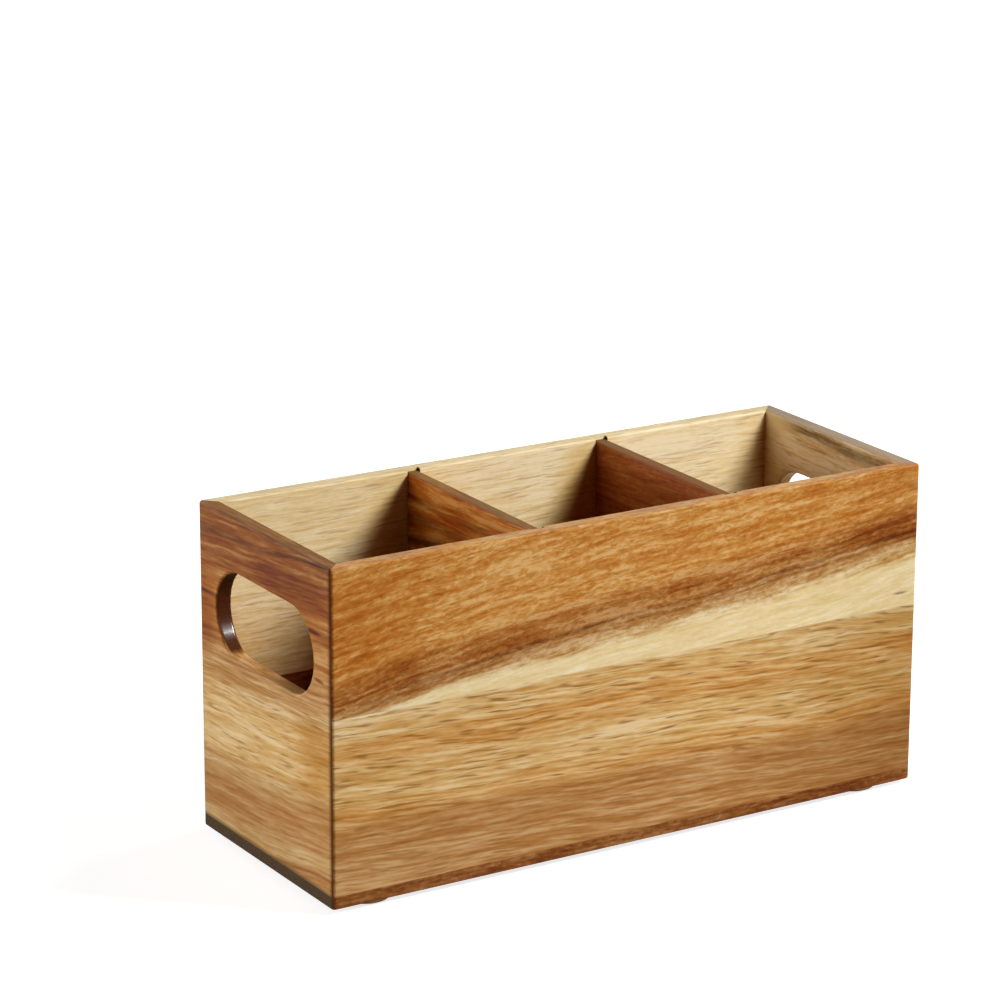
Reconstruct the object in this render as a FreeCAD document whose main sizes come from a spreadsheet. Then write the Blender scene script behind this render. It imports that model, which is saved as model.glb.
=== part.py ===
import FreeCAD, Part
import math
import os
import Sketcher

# A three-compartment utensil caddy of solid wood: four boards mitred round a rectangle, a base board glued
# and bradded under them, two dividers let into the long boards, a hand hole through each end and four pads
# underneath. Millimetres, +Z up. The origin is at the middle of the footprint, on the surface the caddy
# stands on. X runs along the length, the front board faces -Y, and the left end faces -X.

# name, size, what it is
SIZES = [
    ("overall_length", 260.0, "length over the two end boards"),
    ("overall_width", 100.0, "width over the front and back boards"),
    ("body_height", 129.0, "underside of the base board to the rim"),
    ("board_thickness", 6.5, "front, back and end boards"),
    ("base_thickness", 5.0, "base board"),
    ("corner_radius", 1.5, "upright outer corners of the walls and the base"),
    ("rim_easing", 1.0, "rounded top edges of the walls"),
    ("base_easing", 0.8, "rounded lower edge of the base board"),
    ("divider_thickness", 5.5, "both dividers"),
    ("divider_drop", 1.2, "rim down to the top of a divider"),
    ("divider_easing", 0.8, "rounded top edges of a divider"),
    ("dado_depth", 2.0, "how far a divider is let into the front and back boards"),
    ("left_bay", 80.0, "clear length of the left compartment"),
    ("middle_bay", 80.0, "clear length of the middle compartment"),
    ("fit_gap", 0.1, "play of a divider or a spline in its groove"),
    ("hole_end_margin", 13.3, "outer face of the front or back board to the nearer end of a hand hole"),
    ("hole_height", 33.6, "height of a hand hole"),
    ("grip_bar", 21.0, "wood between a hand hole and the rim"),
    ("hole_easing", 1.2, "rounded edges of a hand hole"),
    ("spline_thickness", 1.5, "loose tongue across each mitre"),
    ("spline_width", 4.0, "width of a tongue, half in each board"),
    ("spline_stop", 14.0, "rim down to the top of a tongue's groove"),
    ("brad_diameter", 1.2, "shank of a brad"),
    ("brad_length", 16.0, "length of a brad under its head"),
    ("brad_head_diameter", 2.2, "head of a brad"),
    ("brad_head_height", 0.8, "height of a brad's head"),
    ("brad_sink", 0.2, "how deep a brad's head lies under the base's lower face"),
    ("brad_gap", 0.05, "radial play of a brad in its hole"),
    ("brad_inset", 32.0, "corner of the caddy to the nearest brad, along each board"),
    ("pad_diameter", 20.0, "round foot pad"),
    ("pad_height", 2.0, "thickness of a foot pad"),
    ("pad_easing", 0.6, "rounded lower edge of a foot pad"),
    ("pad_inset_x", 20.0, "end of the caddy to the middle of a foot pad"),
    ("pad_inset_y", 12.5, "front or back of the caddy to the middle of a foot pad"),
]
LONG_SIDE_BRADS = 4
NEAR = 1e-4

# Lengths worked out from the driving sizes, as the sheet's own expressions.
LENGTH = "Sizes.overall_length"
WIDTH = "Sizes.overall_width"
BOARD = "Sizes.board_thickness"
WALL_HEIGHT = "(Sizes.body_height - Sizes.base_thickness)"
WALL_FOOT = "(Sizes.pad_height + Sizes.base_thickness)"
HALF_LENGTH = "Sizes.overall_length / 2"
HALF_WIDTH = "Sizes.overall_width / 2"
LEFT_DIVIDER = "(Sizes.board_thickness + Sizes.left_bay + Sizes.divider_thickness / 2)"
RIGHT_DIVIDER = "(%s + Sizes.divider_thickness + Sizes.middle_bay)" % LEFT_DIVIDER
DIVIDER_START = "(Sizes.board_thickness - Sizes.dado_depth + Sizes.fit_gap)"
BRAD_HOLE_RADIUS = "(Sizes.brad_diameter / 2 + Sizes.brad_gap)"
BRAD_REACH = "(Sizes.brad_sink + Sizes.brad_head_height + Sizes.brad_length - Sizes.base_thickness)"

doc = FreeCAD.newDocument("utensil_caddy")
sheet = doc.addObject("Spreadsheet::Sheet", "Sizes")
for row, (alias, size, meaning) in enumerate(SIZES, start=1):
    sheet.set("A%d" % row, meaning)
    sheet.set("B%d" % row, str(size))
    sheet.setAlias("B%d" % row, alias)
doc.recompute()


def number(text):
    """The value that an expression has now."""
    return float(sheet.evalExpression(text))


# ---------------------------------------------------------------------------------------------- sketching

def new_body(node):
    """An empty body whose label is the node's name."""
    body = doc.addObject("PartDesign::Body", node)
    body.Label = node
    return body


def new_sketch(body, name, role="XY_Plane"):
    """An empty sketch on one of the body's own origin planes."""
    planes = {feature.Role: feature for feature in body.Origin.OriginFeatures}
    sketch = body.newObject("Sketcher::SketchObject", name)
    sketch.AttachmentSupport = [(planes[role], "")]
    sketch.MapMode = "FlatFace"
    return sketch


def bind(sketch, kind, text, *where):
    """Add a dimension of this kind and tie it to the expression."""
    index = sketch.addConstraint(Sketcher.Constraint(kind, *where, number(text)))
    sketch.setExpression("Constraints[%d]" % index, text)


def pin(sketch, line, end, across, up):
    """Fix a point at (across, up) from the sketch's origin: on an axis where that is nought."""
    x_axis, y_axis, origin = -1, -2, (-1, 1)
    if across == "0":
        sketch.addConstraint(Sketcher.Constraint("PointOnObject", line, end, y_axis))
    else:
        bind(sketch, "DistanceX", across, *origin, line, end)
    if up == "0":
        sketch.addConstraint(Sketcher.Constraint("PointOnObject", line, end, x_axis))
    else:
        bind(sketch, "DistanceY", up, *origin, line, end)


def left_arc(start, end, radius):
    """The short arc from start to end that turns left with this radius."""
    chord = end - start
    across = FreeCAD.Vector(-chord.y, chord.x, 0)
    across.normalize()
    centre = (start + end) / 2 + across * math.sqrt(radius ** 2 - (chord.Length / 2) ** 2)
    circle = Part.Circle(centre, FreeCAD.Vector(0, 0, 1), radius)
    return Part.ArcOfCircle(circle, circle.parameter(start), circle.parameter(end))


def closed_outline(sketch, corners):
    """A closed outline, anticlockwise. Each corner is (across, up, radius), all expressions. The edge that
    leaves it is straight, or with a radius it is an arc that turns left."""
    points = [FreeCAD.Vector(number(across), number(up), 0) for across, up, radius in corners]
    count = len(corners)
    for index, (across, up, radius) in enumerate(corners):
        start, end = points[index], points[(index + 1) % count]
        if radius is None:
            sketch.addGeometry(Part.LineSegment(start, end), False)
        else:
            sketch.addGeometry(left_arc(start, end, number(radius)), False)
    for index, (across, up, radius) in enumerate(corners):
        following = (index + 1) % count
        sketch.addConstraint(Sketcher.Constraint("Coincident", index, 2, following, 1))
        pin(sketch, index, 1, across, up)
        if radius is not None:
            bind(sketch, "Radius", radius, index)


def rectangle(sketch, left, bottom, right, top):
    """An upright rectangle between two corners, given as expressions."""
    corners = [(left, bottom, None), (right, bottom, None), (right, top, None), (left, top, None)]
    closed_outline(sketch, corners)


def centred_rectangle(sketch, across, up):
    """A rectangle about the sketch's origin."""
    x, y = number(across) / 2, number(up) / 2
    points = [FreeCAD.Vector(*p, 0) for p in ((-x, -y), (x, -y), (x, y), (-x, y))]
    for index in range(4):
        sketch.addGeometry(Part.LineSegment(points[index], points[(index + 1) % 4]), False)
    for index in range(4):
        sketch.addConstraint(Sketcher.Constraint("Coincident", index, 2, (index + 1) % 4, 1))
        sketch.addConstraint(Sketcher.Constraint("Vertical" if index % 2 else "Horizontal", index))
    sketch.addConstraint(Sketcher.Constraint("Symmetric", 0, 1, 2, 1, -1, 1))
    bind(sketch, "DistanceX", across, 0, 1, 0, 2)
    bind(sketch, "DistanceY", up, 1, 1, 1, 2)


def circles(sketch, spots, radius):
    """A circle of one radius at each (across, up)."""
    for index, (across, up) in enumerate(spots):
        middle = FreeCAD.Vector(number(across), number(up), 0)
        sketch.addGeometry(Part.Circle(middle, FreeCAD.Vector(0, 0, 1), number(radius)), False)
        pin(sketch, index, 3, across, up)
        bind(sketch, "Radius", radius, index)


def flat_slot(sketch, left, right, middle, radius):
    """A slot with round ends: its end centres at left and right, both at the height middle."""
    up = FreeCAD.Vector(0, 0, 1)
    near = FreeCAD.Vector(number(left), number(middle), 0)
    far = FreeCAD.Vector(number(right), number(middle), 0)
    reach = FreeCAD.Vector(0, number(radius), 0)
    quarter = math.pi / 2
    sketch.addGeometry(Part.ArcOfCircle(Part.Circle(near, up, reach.y), quarter, 3 * quarter), False)
    sketch.addGeometry(Part.LineSegment(near - reach, far - reach), False)
    sketch.addGeometry(Part.ArcOfCircle(Part.Circle(far, up, reach.y), -quarter, quarter), False)
    sketch.addGeometry(Part.LineSegment(far + reach, near + reach), False)
    for index in range(4):
        sketch.addConstraint(Sketcher.Constraint("Tangent", index, 2, (index + 1) % 4, 1))
    sketch.addConstraint(Sketcher.Constraint("Horizontal", 1))
    sketch.addConstraint(Sketcher.Constraint("Equal", 0, 2))
    pin(sketch, 0, 3, left, middle)
    bind(sketch, "DistanceX", right, -1, 1, 2, 3)
    bind(sketch, "Radius", radius, 0)


# ----------------------------------------------------------------------------------------------- features

def pad(body, sketch, height):
    """Raise the sketch by this height."""
    feature = body.newObject("PartDesign::Pad", "Pad")
    feature.Profile = sketch
    feature.setExpression("Length", height)
    doc.recompute()
    return feature


def cut(body, sketch, depth=None, along_normal=False):
    """Sink the sketch to this depth, or right through with none, and make sure that wood came off."""
    before = body.Tip.Shape.Volume
    feature = body.newObject("PartDesign::Pocket", "Pocket")
    feature.Profile = sketch
    feature.Reversed = along_normal
    if depth is None:
        feature.Type = "ThroughAll"
    else:
        feature.setExpression("Length", depth)
    doc.recompute()
    if feature.Shape.isNull() or feature.Shape.Volume > before - NEAR:
        raise RuntimeError("%s: %s removed nothing" % (body.Label, sketch.Name))
    return feature


def round_edges(body, wanted, radius):
    """Round the edges of the body's tip for which wanted(edge) is true."""
    tip = body.Tip
    names = ["Edge%d" % (index + 1) for index, edge in enumerate(tip.Shape.Edges) if wanted(edge)]
    if not names:
        raise RuntimeError("%s: no edge to round" % body.Label)
    feature = body.newObject("PartDesign::Fillet", "Fillet")
    feature.Base = (tip, names)
    feature.setExpression("Radius", radius)
    doc.recompute()
    return feature


def at_height(edge, height):
    """Whether the whole edge lies at this height."""
    box = edge.BoundBox
    return abs(box.ZMin - height) < NEAR and abs(box.ZMax - height) < NEAR


def slanted(edge):
    """Whether the edge is a straight one that runs at a slant in plan, as a mitre does."""
    box = edge.BoundBox
    return isinstance(edge.Curve, Part.Line) and box.XLength > NEAR and box.YLength > NEAR


def place(thing, across, back, up, turn=0):
    """Put a sub-part's own origin at (across, back, up), turned by this many degrees about the upright."""
    spin = FreeCAD.Rotation(FreeCAD.Vector(0, 0, 1), turn)
    thing.Placement = FreeCAD.Placement(FreeCAD.Vector(0, 0, 0), spin)
    thing.setExpression("Placement.Base.x", across)
    thing.setExpression("Placement.Base.y", back)
    thing.setExpression("Placement.Base.z", up)


# ----------------------------------------------------------------------------------------------- brads

def row_of_brads(length, count):
    """How far along a board of this length its brads stand: evenly, from one inset to the other."""
    step = "(%s - 2 * Sizes.brad_inset) / %d" % (length, count - 1)
    return ["(Sizes.brad_inset + %d * %s)" % (index, step) for index in range(count)]


def brad_spots():
    """Every brad's place, from the caddy's front left corner: under the four boards and the dividers."""
    middle = "(Sizes.board_thickness / 2)"
    spots = []
    for across in row_of_brads(LENGTH, LONG_SIDE_BRADS):
        spots.append((across, middle))
        spots.append((across, "(%s - %s)" % (WIDTH, middle)))
    for back in row_of_brads(WIDTH, 2):
        spots.append((middle, back))
        spots.append(("(%s - %s)" % (LENGTH, middle), back))
        spots.append((LEFT_DIVIDER, back))
        spots.append((RIGHT_DIVIDER, back))
    return spots


def base_brads():
    """The steel brads, each a shank on a head, driven up through the base board."""
    brads = []
    for index, (across, back) in enumerate(brad_spots(), start=1):
        head = doc.addObject("Part::Cylinder", "BradHead%d" % index)
        head.setExpression("Radius", "Sizes.brad_head_diameter / 2")
        head.setExpression("Height", "Sizes.brad_head_height")
        shank = doc.addObject("Part::Cylinder", "BradShank%d" % index)
        shank.setExpression("Radius", "Sizes.brad_diameter / 2")
        shank.setExpression("Height", "Sizes.brad_length + Sizes.brad_head_height")
        for piece in (head, shank):
            place(piece, "%s - %s" % (across, HALF_LENGTH), "%s - %s" % (back, HALF_WIDTH),
                  "Sizes.pad_height + Sizes.brad_sink")
        brad = doc.addObject("Part::Fuse", "Brad%d" % index)
        brad.Base = head
        brad.Tool = shank
        brads.append(brad)
    group = doc.addObject("Part::Compound", "base_brads")
    group.Label = "base_brads"
    group.Links = brads
    return group


# ----------------------------------------------------------------------------------------------- boards

def mitred_board(node, length, dado_centres=(), hand_hole=False, brad_count=2):
    """A wall board in its own frame: it runs along X from 0 to length, its outer face is at Y 0 and its
    lower edge at Z 0. Both ends are mitred, and each outer corner holds half of the rounded arris."""
    body = new_body(node)
    curl = "(Sizes.corner_radius * (1 - sqrt(2) / 2))"
    outline = new_sketch(body, "Outline")
    closed_outline(outline, [
        ("Sizes.corner_radius", "0", None),
        ("%s - Sizes.corner_radius" % length, "0", "Sizes.corner_radius"),
        ("%s - %s" % (length, curl), curl, None),
        ("%s - %s" % (length, BOARD), BOARD, None),
        (BOARD, BOARD, None),
        (curl, curl, "Sizes.corner_radius"),
    ])
    pad(body, outline, WALL_HEIGHT)
    top = number(WALL_HEIGHT)
    round_edges(body, lambda edge: at_height(edge, top) and not slanted(edge), "Sizes.rim_easing")

    for centre in dado_centres:
        groove = new_sketch(body, "Dado")
        half = "(Sizes.divider_thickness + Sizes.fit_gap) / 2"
        rectangle(groove, "%s - %s" % (centre, half), "Sizes.board_thickness - Sizes.dado_depth",
                  "%s + %s" % (centre, half), "Sizes.board_thickness + Sizes.dado_depth")
        cut(body, groove, along_normal=True)

    near_mitre = "Sizes.board_thickness / 2"
    far_mitre = "%s - %s" % (length, near_mitre)
    for middle, turn in ((near_mitre, 45), (far_mitre, -45)):
        groove = new_sketch(body, "SplineGroove")
        spin = FreeCAD.Rotation(FreeCAD.Vector(0, 0, 1), turn)
        groove.AttachmentOffset = FreeCAD.Placement(FreeCAD.Vector(0, 0, 0), spin)
        groove.setExpression("AttachmentOffset.Base.x", middle)
        groove.setExpression("AttachmentOffset.Base.y", "Sizes.board_thickness / 2")
        centred_rectangle(groove, "Sizes.spline_thickness + Sizes.fit_gap",
                          "Sizes.spline_width + Sizes.fit_gap")
        cut(body, groove, "%s - Sizes.spline_stop" % WALL_HEIGHT, along_normal=True)

    holes = new_sketch(body, "BradHoles")
    circles(holes, [(across, "Sizes.board_thickness / 2") for across in row_of_brads(length, brad_count)],
            BRAD_HOLE_RADIUS)
    cut(body, holes, BRAD_REACH, along_normal=True)

    if hand_hole:
        cut_hand_hole(body, length)
    return body


def cut_hand_hole(body, length):
    """A slot with round ends through the board, under the grip bar, with both its edges rounded."""
    radius = "Sizes.hole_height / 2"
    start = "(Sizes.hole_end_margin + %s)" % radius
    middle = "%s - Sizes.grip_bar - %s" % (WALL_HEIGHT, radius)
    slot = new_sketch(body, "HandHole", "XZ_Plane")
    flat_slot(slot, start, "%s - %s" % (length, start), middle, radius)
    cut(body, slot)
    low = number(middle) - number(radius) - NEAR
    high = number(middle) + number(radius) + NEAR
    left = number("Sizes.hole_end_margin") - NEAR

    def on_rim(edge):
        box = edge.BoundBox
        inside = box.ZMin > low and box.ZMax < high and box.XMin > left
        return inside and box.YLength < NEAR and box.XMax < number(length) - left

    round_edges(body, on_rim, "Sizes.hole_easing")


def base_panel():
    """The base board, from its own front left corner at its lower face, with the brads' stepped holes."""
    body = new_body("base_panel")
    outline = new_sketch(body, "Outline")
    rectangle(outline, "0", "0", LENGTH, WIDTH)
    pad(body, outline, "Sizes.base_thickness")
    round_edges(body, lambda edge: edge.BoundBox.ZLength > NEAR, "Sizes.corner_radius")
    round_edges(body, lambda edge: at_height(edge, 0), "Sizes.base_easing")
    shanks = new_sketch(body, "BradHoles")
    circles(shanks, brad_spots(), BRAD_HOLE_RADIUS)
    cut(body, shanks, along_normal=True)
    heads = new_sketch(body, "BradHeads")
    circles(heads, brad_spots(), "Sizes.brad_head_diameter / 2 + Sizes.brad_gap")
    cut(body, heads, "Sizes.brad_sink + Sizes.brad_head_height", along_normal=True)
    place(body, "-%s" % HALF_LENGTH, "-%s" % HALF_WIDTH, "Sizes.pad_height")
    return body


def divider(node, centre):
    """A divider in its own frame: its thickness along X, its front end at Y 0. Its ends stand in the dados
    of the long boards and its top edges are rounded."""
    body = new_body(node)
    outline = new_sketch(body, "Outline")
    rectangle(outline, "0", "0", "Sizes.divider_thickness", "%s - 2 * %s" % (WIDTH, DIVIDER_START))
    height = "%s - Sizes.divider_drop" % WALL_HEIGHT
    pad(body, outline, height)
    top = number(height)
    round_edges(body, lambda edge: at_height(edge, top) and edge.BoundBox.YLength > edge.BoundBox.XLength,
                "Sizes.divider_easing")
    holes = new_sketch(body, "BradHoles")
    circles(holes, [("Sizes.divider_thickness / 2", "%s - %s" % (back, DIVIDER_START))
                    for back in row_of_brads(WIDTH, 2)], BRAD_HOLE_RADIUS)
    cut(body, holes, BRAD_REACH, along_normal=True)
    place(body, "%s - Sizes.divider_thickness / 2 - %s" % (centre, HALF_LENGTH),
          "%s - %s" % (DIVIDER_START, HALF_WIDTH), WALL_FOOT)
    return body


def corner_spline(node, side, depth, turn):
    """The loose tongue in one mitre: side and depth are -1 or 1, to the left or right and front or back."""
    body = new_body(node)
    outline = new_sketch(body, "Outline")
    centred_rectangle(outline, "Sizes.spline_thickness", "Sizes.spline_width")
    pad(body, outline, "%s - Sizes.spline_stop - Sizes.fit_gap" % WALL_HEIGHT)
    place(body, "%d * (%s - Sizes.board_thickness / 2)" % (side, HALF_LENGTH),
          "%d * (%s - Sizes.board_thickness / 2)" % (depth, HALF_WIDTH), WALL_FOOT, turn)
    return body


def foot_pad(node, side, depth):
    """A round pad under one corner of the base."""
    body = new_body(node)
    outline = new_sketch(body, "Outline")
    circles(outline, [("0", "0")], "Sizes.pad_diameter / 2")
    pad(body, outline, "Sizes.pad_height")
    round_edges(body, lambda edge: at_height(edge, 0), "Sizes.pad_easing")
    place(body, "%d * (%s - Sizes.pad_inset_x)" % (side, HALF_LENGTH),
          "%d * (%s - Sizes.pad_inset_y)" % (depth, HALF_WIDTH), "0")
    return body


# --------------------------------------------------------------------------------------------- the caddy

front = mitred_board("front_panel", LENGTH, dado_centres=(LEFT_DIVIDER, RIGHT_DIVIDER),
                     brad_count=LONG_SIDE_BRADS)
place(front, "-%s" % HALF_LENGTH, "-%s" % HALF_WIDTH, WALL_FOOT, 0)

back = mitred_board("back_panel", LENGTH,
                    dado_centres=("%s - %s" % (LENGTH, RIGHT_DIVIDER), "%s - %s" % (LENGTH, LEFT_DIVIDER)),
                    brad_count=LONG_SIDE_BRADS)
place(back, HALF_LENGTH, HALF_WIDTH, WALL_FOOT, 180)

left_end = mitred_board("left_end_panel", WIDTH, hand_hole=True)
place(left_end, "-%s" % HALF_LENGTH, HALF_WIDTH, WALL_FOOT, -90)

right_end = mitred_board("right_end_panel", WIDTH, hand_hole=True)
place(right_end, HALF_LENGTH, "-%s" % HALF_WIDTH, WALL_FOOT, 90)

parts = [front, back, left_end, right_end, base_panel(),
         divider("left_divider", LEFT_DIVIDER), divider("right_divider", RIGHT_DIVIDER)]
for depth_name, depth in (("front", -1), ("back", 1)):
    for side_name, side in (("left", -1), ("right", 1)):
        corner = "%s_%s" % (depth_name, side_name)
        parts.append(corner_spline(corner + "_spline", side, depth, 45 * side * depth))
        parts.append(foot_pad(corner + "_foot_pad", side, depth))
parts.append(base_brads())
doc.recompute()

# ------------------------------------------------------------------------------------------------ writing

for thing in doc.Objects:
    if "Invalid" in thing.State or "Error" in thing.State:
        raise RuntimeError("%s failed: %s" % (thing.Label, thing.State))
solids_expected = {"base_brads": len(brad_spots())}
for part in parts:
    shape = part.Shape
    if shape.isNull() or not shape.isValid():
        raise RuntimeError("%s has no valid shape" % part.Label)
    if len(shape.Solids) != solids_expected.get(part.Label, 1):
        raise RuntimeError("%s holds %d solids" % (part.Label, len(shape.Solids)))

os.makedirs("parts", exist_ok=True)
for part in parts:
    part.Shape.exportStep("parts/%s.step" % part.Label)
    box = part.Shape.BoundBox
    print("%-24s %9.1f mm3  x %.2f..%.2f  y %.2f..%.2f  z %.2f..%.2f" % (
        part.Label, part.Shape.Volume, box.XMin, box.XMax, box.YMin, box.YMax, box.ZMin, box.ZMax))
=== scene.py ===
"""Utensil caddy in oiled acacia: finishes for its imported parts, four moulded foot pads and the studio."""

import math

import bpy
import numpy as np
from bpy.props import FloatProperty, FloatVectorProperty, PointerProperty
from mathutils import Matrix, Vector


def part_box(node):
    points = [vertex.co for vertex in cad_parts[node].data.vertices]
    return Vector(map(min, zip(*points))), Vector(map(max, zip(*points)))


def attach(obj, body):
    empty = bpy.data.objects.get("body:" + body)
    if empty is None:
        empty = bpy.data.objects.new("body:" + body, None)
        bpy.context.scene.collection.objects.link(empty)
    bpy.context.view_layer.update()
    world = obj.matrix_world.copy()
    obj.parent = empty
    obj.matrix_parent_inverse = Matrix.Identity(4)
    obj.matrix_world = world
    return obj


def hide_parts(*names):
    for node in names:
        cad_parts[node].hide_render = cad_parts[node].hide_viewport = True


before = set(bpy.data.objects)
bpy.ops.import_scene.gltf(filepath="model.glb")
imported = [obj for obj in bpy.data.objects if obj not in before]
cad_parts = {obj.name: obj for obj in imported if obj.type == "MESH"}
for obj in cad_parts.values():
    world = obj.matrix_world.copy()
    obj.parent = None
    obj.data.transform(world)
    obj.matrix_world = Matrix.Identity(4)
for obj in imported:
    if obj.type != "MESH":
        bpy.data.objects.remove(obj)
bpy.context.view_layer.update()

bl_info = {
    "name": "Acacia utensil caddy",
    "version": (1, 0, 0),
    "blender": (4, 5, 0),
    "location": "View3D > Sidebar > Caddy",
    "description": "Gives an acacia utensil caddy its timber, rubber and steel, and a plain studio",
    "category": "Object",
}

MM = 0.001


def box_of(node):
    """The lowest and the highest corner of a CAD node, in millimetres."""
    return [[v / MM for v in corner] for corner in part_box(node)]


# The face that carries each board's figure, and the tops of the walls and of the dividers, in millimetres.
FRONT_FACE = box_of("front_panel")[0][1]
BACK_FACE = box_of("back_panel")[0][1]
LEFT_FACE = box_of("left_end_panel")[0][0]
RIGHT_FACE = box_of("right_end_panel")[0][0]
LEFT_DIVIDER_FACE = box_of("left_divider")[0][0]
RIGHT_DIVIDER_FACE = box_of("right_divider")[0][0]
BASE_MIDDLE = sum(corner[2] for corner in box_of("base_panel")) / 2
WALL_TOP = box_of("front_panel")[1][2]
DIVIDER_TOP = box_of("left_divider")[1][2]
CORNERS = ("front_left", "front_right", "back_left", "back_right")


def linear(code):
    """The linear RGB of an sRGB hex code such as #c88b48."""
    parts = [int(code[i : i + 2], 16) / 255 for i in (1, 3, 5)]
    return [v / 12.92 if v <= 0.04045 else ((v + 0.055) / 1.055) ** 2.4 for v in parts]


# Tones of oiled acacia, from its pale sapwood to the dark lines between growth rings.
TONES = {
    "cream": ("Sapwood cream", "#e0c998"),
    "straw": ("Sapwood straw", "#cfa96f"),
    "honey": ("Honey", "#c89758"),
    "gold": ("Golden tan", "#bd9560"),
    "tan": ("Tan brown", "#ae7d48"),
    "amber": ("Heartwood amber", "#c28844"),
    "russet": ("Heartwood russet", "#a96e34"),
    "copper": ("Copper brown", "#ab611f"),
    "walnut": ("Walnut brown", "#884f22"),
    "chestnut": ("Chestnut", "#845026"),
    "mahogany": ("Deep red brown", "#803f13"),
    "umber": ("Ring line", "#613415"),
    "pore": ("Open pores", "#8c5c24"),
    "peat": ("End grain of the base", "#412f19"),
    "bark": ("End grain in the hand holes", "#421f0a"),
    # Dusk is a worn brown of the wood. On the tops of the left end and the dividers it is also the tone of
    # their painted sheen.
    "dusk": ("Worn brown", "#694e27"),
    # Ash is no tone of the wood: it is the grey of the painted sheen on the tops of the walls.
    "ash": ("Grey of the rim sheen", "#897c6c"),
}


def colour_property(label, where, code):
    """A colour that the sidebar shows."""
    return FloatVectorProperty(
        name=label,
        description=f"{label} {where}",
        subtype="COLOR",
        size=3,
        min=0.0,
        max=1.0,
        default=linear(code),
    )


class CaddyTimber(bpy.types.PropertyGroup):
    """Tones of the acacia."""

    __annotations__ = {
        key: colour_property(label, "in the acacia boards", code) for key, (label, code) in TONES.items()
    }


class CaddyFittings(bpy.types.PropertyGroup):
    """Colours of the foot pads and the brads, and the hollow under each pad."""

    rubber: colour_property("Brown rubber", "of the foot pads", "#cf9a68")
    steel: colour_property("Steel grey", "of the brads", "#c3c2bd")
    hollow: FloatProperty(
        name="Hollow",
        description="Depth of the hollow under each foot pad",
        unit="LENGTH",
        default=0.35 * MM,
        min=0.0,
        max=1.5 * MM,
    )


class CaddyStage(bpy.types.PropertyGroup):
    """Camera, lamps and floor."""

    place: FloatVectorProperty(
        name="Place",
        description="Where the camera stands",
        subtype="TRANSLATION",
        unit="LENGTH",
        size=3,
        default=(-0.774589, -1.204571, 0.555710),
    )
    focal_length: FloatProperty(
        name="Focal length", description="Camera lens, in millimetres", default=142.32, min=10.0
    )
    bearing: FloatProperty(
        name="Bearing",
        description="Turn of the view from straight at the front, towards the right end",
        subtype="ANGLE",
        default=math.radians(31.7575),
    )
    dip: FloatProperty(
        name="Dip",
        description="Slope of the view below level",
        subtype="ANGLE",
        default=math.radians(16.7931),
    )
    roll: FloatProperty(
        name="Roll",
        description="Turn of the camera about its own line of sight",
        subtype="ANGLE",
        default=math.radians(0.2210),
    )
    key_power: FloatProperty(
        name="Key lamp",
        description="Power of the lamp above and right of the front",
        unit="POWER",
        default=14.0,
    )
    side_power: FloatProperty(
        name="Side lamp",
        description="Power of the broad lamp left of the caddy",
        unit="POWER",
        default=6.7,
    )
    back_power: FloatProperty(
        name="Back lamps",
        description="Power of each broad lamp behind and right of the caddy",
        unit="POWER",
        default=7.0,
    )
    ambient: FloatProperty(
        name="Ambient", description="Strength of the light from all round", default=0.005, min=0.0
    )
    paper: colour_property("Pale paper", "of the floor", "#bcbbb9")


def add(tree, kind, feeds=None, out=0, **settings):
    """Adds a node of that kind with its settings, feeds its inputs, and gives one of its outputs."""
    made = tree.nodes.new("ShaderNode" + kind)
    for name, value in settings.items():
        setattr(made, name, value)
    for place, feed in (feeds or {}).items():
        if isinstance(feed, bpy.types.NodeSocket):
            tree.links.new(feed, made.inputs[place])
        else:
            made.inputs[place].default_value = feed
    return made.outputs[out] if made.outputs else None


def start(name):
    """A new material with no nodes, its node tree, and the place on the piece in millimetres."""
    material = bpy.data.materials.new(name)
    material.use_nodes = True
    tree = material.node_tree
    tree.nodes.clear()
    place = add(tree, "TexCoord", out="Object")
    return material, tree, add(tree, "VectorMath", {0: place, 3: 1 / MM}, operation="SCALE")


def total(tree, *terms):
    """The sum of sockets, each with its factor."""
    gathered = 0.0
    for socket, factor in terms:
        gathered = add(tree, "Math", {0: socket, 1: factor, 2: gathered}, operation="MULTIPLY_ADD")
    return gathered


def mottle(tree, spot, length, width, seed, detail=2.0, rough=0.5, twist=0.0, gain=5.0):
    """Noise about zero, stretched along the grain: blotches of that length and width in millimetres."""
    scaled = add(
        tree,
        "Mapping",
        {0: spot, 1: [seed * step for step in SEED_STEPS], 3: (1 / length, 1 / width, 1 / width)},
    )
    value = add(
        tree,
        "TexNoise",
        {"Vector": scaled, "Scale": 1.0, "Detail": detail, "Roughness": rough, "Distortion": twist},
    )
    return add(tree, "Math", {0: value, 1: gain, 2: -gain / 2}, operation="MULTIPLY_ADD")


def above(tree, value, low, high):
    """0 below low, 1 above high, and a smooth rise between them."""
    return add(tree, "MapRange", {0: value, 1: low, 2: high}, interpolation_type="SMOOTHSTEP")


def track(tree, along, points):
    """A smooth curve through points (place along the board, height), both in millimetres."""
    first, last = points[0][0], points[-1][0]
    low = min(p[1] for p in points)
    high = max(p[1] for p in points) + 1e-3
    share = add(tree, "MapRange", {0: along, 1: first, 2: last})
    curve = add(tree, "FloatCurve", {1: share})
    line = curve.node.mapping.curves[0]
    while len(line.points) < len(points):
        line.points.new(0.5, 0.5)
    for knot, (place, height) in zip(line.points, points):
        knot.location = ((place - first) / (last - first), (height - low) / (high - low))
    curve.node.mapping.update()
    return add(tree, "MapRange", {0: curve, 3: low, 4: high})


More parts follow.
